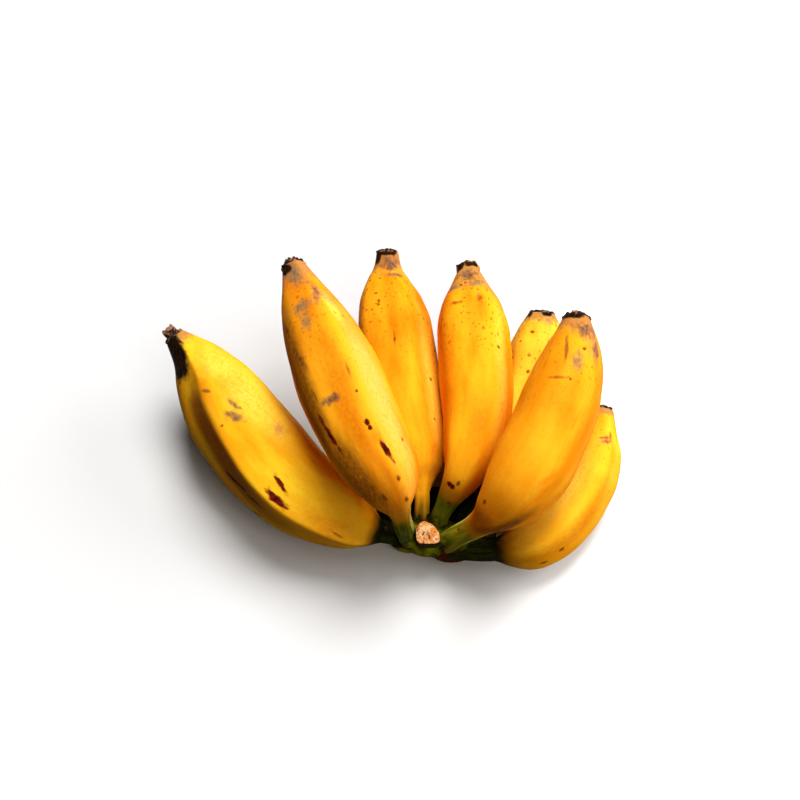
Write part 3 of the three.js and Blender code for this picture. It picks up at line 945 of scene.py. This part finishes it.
look = {"Roughness": 0.6, "Specular IOR Level": 0.04, "IOR": 1.1}
material, tree, shader = new_material("crown_stem", look)
colour = layer(tree, patches(tree, size_mm=5, detail=4, edge=(0.38, 0.6)), CROWN_DARK, CROWN_GREEN)
olive = patches(tree, size_mm=2.2, detail=4, shift=3, edge=(0.55, 0.75))
colour = layer(tree, olive, colour, CROWN_OLIVE)
# Painted shade, nearly black, where the crown lies under the bananas and between the stalks.
colour = layer(tree, field_of(tree, "crown_painted_shade"), colour, CROWN_SHADE)
uneven = patches(tree, size_mm=1.6, detail=3, shift=5, edge=(0.4, 0.7))
stalk = layer(tree, uneven, field_of(tree, "stalk_dark", 1), field_of(tree, "stalk_light", 1))
colour = layer(tree, field_of(tree, "stalk_share"), colour, stalk)
fibres = grain_noise(tree, size_mm=0.5, detail=3, stretch=0.2)
fibre_colour = layer(tree, between(tree, fibres, *CUT_FIBRE_EDGE), CUT_BROWN, CUT_FIBRE)
cut = ragged(tree, field_of(tree, "cut"), amount=0.6, size_mm=1.2, stretch=1)
colour = layer(tree, between(tree, cut, *CUT_BROWN_EDGE), colour, fibre_colour)
wrinkles = math_of(tree, "ADD", grain_noise(tree, size_mm=2.5, detail=4), times(tree, fibres, cut))
give_surface(tree, shader, colour, wrinkles, strength=0.6, depth_mm=1)
add_piece("crown_stem", crown_mesh, material, "crown")

# ----------------------------------------------------------
# The cut stump: the foot of an eighth banana's stalk, sliced across. Its side is green skin and its
# face is the stalk's pale flesh, drying pinkish orange with brown specks and a dark rim.

STUMP_FOOT = np.array([-4.5, 3, 8])
STUMP_TOP = np.array([-4.5, 0, 20.5])
STUMP_UP = np.array([0, 0.88, 0.47])  # upward on the cut face, which looks to the front and upward
STUMP_RIGHT = np.array([1.0, 0, 0])
STUMP_OUTLINE = [
    (-1.4, 4.6), (1.6, 3.2), (4.2, -0.3), (4.1, -3.2), (0, -3.9), (-3.6, -3.4), (-4.4, -0.6), (-3.7, 3),
]
STUMP_SIDES = 96
STUMP_SIDE_RINGS = 24
STUMP_FACE_RINGS = 22
STUMP_FACE_SIZES = (0.985, 0.04)  # its rings, from the edge to the middle, as shares of the outline
STUMP_FACE_RISE = 0.25
STUMP_FACE_ROUGH = 0.072
STUMP_RIM_RINGS = 4  # the dark rim takes up the side's last rings and the face's first
STUMP_RIM_FADE = 0.6
STUMP_SEED = 3
STUMP_SKIN = (44, 44, 7)
CUT_FLESH = (238, 152, 74)
CUT_PALE = (255, 206, 150)
CUT_SPECK = (150, 62, 22)
CUT_RIM = (60, 20, 8)
CUT_RIM_EDGE = (0.5, 0.9)

loop = [(x, y, 0) for x, y in [*STUMP_OUTLINE, STUMP_OUTLINE[0]]]
flat = smooth_route(loop, STUMP_SIDES)[0][:-1]
section = flat[:, :1] * STUMP_RIGHT + flat[:, 1:2] * STUMP_UP
levels = np.linspace(0, 1, STUMP_SIDE_RINGS)[:, None, None]
side_rings = STUMP_FOOT + levels * (STUMP_TOP - STUMP_FOOT) + section
sizes = np.linspace(*STUMP_FACE_SIZES, STUMP_FACE_RINGS)[:, None, None]
draw = np.random.default_rng(STUMP_SEED)
rough = draw.normal(0, STUMP_FACE_ROUGH, (STUMP_SIDE_RINGS + STUMP_FACE_RINGS, STUMP_SIDES, 1))
raised = rough[STUMP_SIDE_RINGS:] + STUMP_FACE_RISE * (1 - sizes)
face_rings = STUMP_TOP + section * sizes + raised * np.cross(STUMP_RIGHT, STUMP_UP)
rings = np.concatenate([side_rings, face_rings])
stump_mesh = ring_mesh("cut_stalk", rings)
on_face = np.zeros(len(rings))
on_face[STUMP_SIDE_RINGS:] = 1
on_rim = np.zeros(len(rings))
on_rim[STUMP_SIDE_RINGS - STUMP_RIM_RINGS : STUMP_SIDE_RINGS + 1] = 1
on_rim[STUMP_SIDE_RINGS + 1] = STUMP_RIM_FADE
store_field(stump_mesh, "grain", all_points(rings * MM))
store_field(stump_mesh, "face", along_rings(on_face, STUMP_SIDES))
store_field(stump_mesh, "rim", along_rings(on_rim, STUMP_SIDES))

look = {"Roughness": 0.75, "Specular IOR Level": 0.1, "IOR": 1.2}
material, tree, shader = new_material("cut_stalk", look)
flesh = layer(tree, patches(tree, size_mm=2.4, detail=3, edge=(0.42, 0.6)), CUT_FLESH, CUT_PALE)
flecked = patches(tree, size_mm=1.1, detail=3, shift=2, edge=(0.55, 0.68))
flesh = layer(tree, flecked, flesh, CUT_SPECK)
colour = layer(tree, field_of(tree, "face"), STUMP_SKIN, flesh)
rim = ragged(tree, field_of(tree, "rim"), amount=0.8, size_mm=1, stretch=1)
colour = layer(tree, between(tree, rim, *CUT_RIM_EDGE), colour, CUT_RIM)
give_surface(tree, shader, colour, grain_noise(tree, size_mm=0.7, detail=3), strength=0.7, depth_mm=0.6)
add_piece("cut_stalk", stump_mesh, material, "cut_stump")

# ----------------------------------------------------------
# The blossom ends: the dried remnant of each banana's flower, grown on the end of its neck. Each has
# a ragged corky rim and a nub with a hollow between them, nearly black, and paler where it broke.

BLOSSOM_SIDES = 72
BLOSSOM_RINGS = 34
BLOSSOM_PROFILE = [  # (height, reach) as shares of the rim, then of the nub
    ("rim", -1.0, 0.88), ("rim", -0.2, 0.98), ("rim", 0.3, 1.01), ("rim", 0.75, 0.96), ("rim", 0.9, 0.86),
    ("rim", 0.5, 0.76), ("nub", 0.3, 1.0), ("nub", 0.6, 1.02), ("nub", 0.88, 0.95), ("nub", 1.0, 0.75),
    ("nub", 0.9, 0.4), ("nub", 0.85, 0.12),
]
RIM_HIGHEST = 1.0
RIM_PER_NUB = 0.7  # how high a low blossom end's rim is, as a share of its nub
PALE_FROM = 0.8  # the nub is paler above this share of its height
PALE_EDGE = (0.25, 0.6)
FRAY_START = (1.0, 2.5)  # it frays past these points of the profile
FRAY_TURNS = 3  # it has this many times a skin's waves round it
FRAY_STEP = 2  # and along it they take each step of the profile for this length
FRAY_SIDEWAYS = 0.05
FRAY_UPWARD = 0.4
TEAR_UPWARD = 0.2
FRAY_FULL_HEIGHT = 2  # lower ones fray less
FRAY_SEED = 40
TEAR_SEED = 70
RIM_DARK = (34, 18, 13)
RIM_TAN = (150, 104, 66)

angle = np.linspace(0, 2 * math.pi, BLOSSOM_SIDES, endpoint=False)
for number, banana in enumerate(BANANAS):
    blossom = banana["blossom"]
    seat, ahead, upper, right, neck = banana["tip"]
    rim_height = min(RIM_HIGHEST, blossom["height"] * RIM_PER_NUB)
    full_size = {"rim": (rim_height, neck), "nub": (blossom["height"], blossom["width"] / 2)}
    heights = [share * full_size[part][0] for part, share, _ in BLOSSOM_PROFILE]
    reaches = [share * full_size[part][1] for part, _, share in BLOSSOM_PROFILE]
    pale = [float(part == "nub" and share > PALE_FROM) for part, share, _ in BLOSSOM_PROFILE]
    given = np.arange(len(BLOSSOM_PROFILE))
    rows = np.linspace(0, given[-1], BLOSSOM_RINGS)
    frayed = unevenness(angle * FRAY_TURNS, rows * FRAY_STEP, FRAY_SEED + number, 1)
    torn = np.random.default_rng(TEAR_SEED + number).normal(0, 1, frayed.shape)
    torn = (torn + np.roll(torn, 1, axis=1) + np.roll(torn, -1, axis=1)) / 3
    out = smooth_step(rows, *FRAY_START)[:, None]
    up = out * min(1, blossom["height"] / FRAY_FULL_HEIGHT)
    reach = np.interp(rows, given, reaches)[:, None] * (1 + out * FRAY_SIDEWAYS * (frayed + torn))
    height = np.interp(rows, given, heights)[:, None] + up * (FRAY_UPWARD * frayed + TEAR_UPWARD * torn)
    sideways = reach[:, :, None] * outward(angle, upper[None, :], right[None, :])
    rings = seat + height[:, :, None] * ahead + sideways
    mesh = ring_mesh("blossom_" + banana["name"], rings)
    store_field(mesh, "grain", all_points(rings * MM))
    store_field(mesh, "pale", along_rings(np.interp(rows, given, pale), BLOSSOM_SIDES))

    look = {"Roughness": 0.85, "Specular IOR Level": 0.2}
    material, tree, shader = new_material("blossom_" + banana["name"], look)
    cork = layer(tree, patches(tree, size_mm=1.6, detail=4, edge=(0.5, 0.62)), RIM_DARK, RIM_TAN)
    broken = ragged(tree, field_of(tree, "pale"), amount=0.8, size_mm=0.9, stretch=1)
    colour = layer(tree, between(tree, broken, *PALE_EDGE), cork, blossom["top"])
    give_surface(tree, shader, colour, grain_noise(tree, size_mm=0.7, detail=4), strength=0.8, depth_mm=0.8)
    add_piece("blossom_" + banana["name"], mesh, material, "blossom_end_" + banana["name"])

# ----------------------------------------------------------
# The floor, lamps and camera: a white studio table with painted light that makes it paler to the right,
# a large lamp high at the back, weaker ones above, at the right and in front, and a camera that looks
# down from the side of the hand's crown.

FLOOR_HALF = 2000
FLOOR_SEEN = 0.65  # how pale the floor looks
FLOOR_SEEN_RIGHT = 1.0  # painted light: paler on the right, the side of the lamps, which lifts the shadow there
FLOOR_RIGHT = (22, 60)  # distances to the right, between which it gets paler
FLOOR_BOUNCE = 0.07  # how much light it throws back on the hand
WORLD_SEEN = 1.0
WORLD_GLOW = 0.02
WARM_WHITE = (1, 0.88, 0.76)
CAMERA_TARGET = (-14.5, 54.1, 20)
CAMERA_ELEVATION = 62
CAMERA_DISTANCE = 700
CAMERA_LENS = 85
CAMERA_SENSOR = 36
CAMERA_NEAREST = 10

floor_mesh = bpy.data.meshes.new("floor")
half = FLOOR_HALF * MM
floor_corners = [(-half, -half, 0), (half, -half, 0), (half, half, 0), (-half, half, 0)]
floor_mesh.from_pydata(floor_corners, [], [(0, 1, 2, 3)])
floor = bpy.data.objects.new("floor", floor_mesh)
bpy.context.scene.collection.objects.link(floor)
material, tree, shader = new_material("white_table", {"Roughness": 0.9, "Specular IOR Level": 0})
ray = tree.nodes.new("ShaderNodeLightPath")
seen = math_of(tree, "MAXIMUM", ray.outputs["Is Camera Ray"], ray.outputs["Is Glossy Ray"])
seen = math_of(tree, "MAXIMUM", seen, ray.outputs["Is Transmission Ray"])
place = add_node(tree, "ShaderNodeTexCoord", {}, "Object")
to_right = add_node(tree, "ShaderNodeSeparateXYZ", {"Vector": place}, "X")
# Painted light: the floor is paler to the right, which lifts the hand's shadow there.
painted_light_right = between(tree, to_right, *[distance * MM for distance in FLOOR_RIGHT])
paleness = {"Value": painted_light_right, "To Min": FLOOR_SEEN, "To Max": FLOOR_SEEN_RIGHT}
seen_tone = add_node(tree, "ShaderNodeMapRange", paleness)
tones = {"Value": seen, "To Min": FLOOR_BOUNCE, "To Max": seen_tone}
tree.links.new(add_node(tree, "ShaderNodeMapRange", tones), shader.inputs["Base Color"])
floor_mesh.materials.append(material)

world = bpy.data.worlds.new("studio")
bpy.context.scene.world = world
world.use_nodes = True
background = world.node_tree.nodes["Background"]
background.inputs["Color"].default_value = (1, 1, 1, 1)
seen = add_node(world.node_tree, "ShaderNodeLightPath", {}, "Is Camera Ray")
glow = {"Value": seen, "To Min": WORLD_GLOW, "To Max": WORLD_SEEN}
strength = add_node(world.node_tree, "ShaderNodeMapRange", glow)
world.node_tree.links.new(strength, background.inputs["Strength"])


def add_sun(name, azimuth, elevation, strength, spread, colour=(1, 1, 1)):
    """A lamp whose light comes from this direction. Azimuth 0 is from +X and 90 from +Y."""
    lamp = bpy.data.lights.new(name, "SUN")
    lamp.color = colour
    lamp.energy = strength
    lamp.angle = math.radians(spread)
    holder = bpy.data.objects.new(name, lamp)
    turn, rise = math.radians(azimuth), math.radians(elevation)
    source = Vector((math.cos(turn) * math.cos(rise), math.sin(turn) * math.cos(rise), math.sin(rise)))
    holder.rotation_euler = source.to_track_quat("Z", "Y").to_euler()
    bpy.context.scene.collection.objects.link(holder)


add_sun("key_lamp", azimuth=74, elevation=58, strength=3.9, spread=34)
add_sun("overhead_lamp", azimuth=20, elevation=78, strength=0.4, spread=30)
add_sun("side_lamp", azimuth=12, elevation=22, strength=2.4, spread=40)
add_sun("front_lamp", azimuth=310, elevation=42, strength=1.0, spread=40, colour=WARM_WHITE)

camera = bpy.data.objects.new("camera", bpy.data.cameras.new("camera"))
camera.data.lens = CAMERA_LENS
camera.data.sensor_width = CAMERA_SENSOR
camera.data.clip_start = CAMERA_NEAREST * MM
target = Vector(in_part(CAMERA_TARGET))
rise = math.radians(CAMERA_ELEVATION)
camera.location = target + CAMERA_DISTANCE * MM * Vector((0, -math.cos(rise), math.sin(rise)))
camera.rotation_euler = (camera.location - target).to_track_quat("Z", "Y").to_euler()
bpy.context.scene.collection.objects.link(camera)
bpy.context.scene.camera = camera
bpy.context.scene.view_settings.view_transform = "Standard"
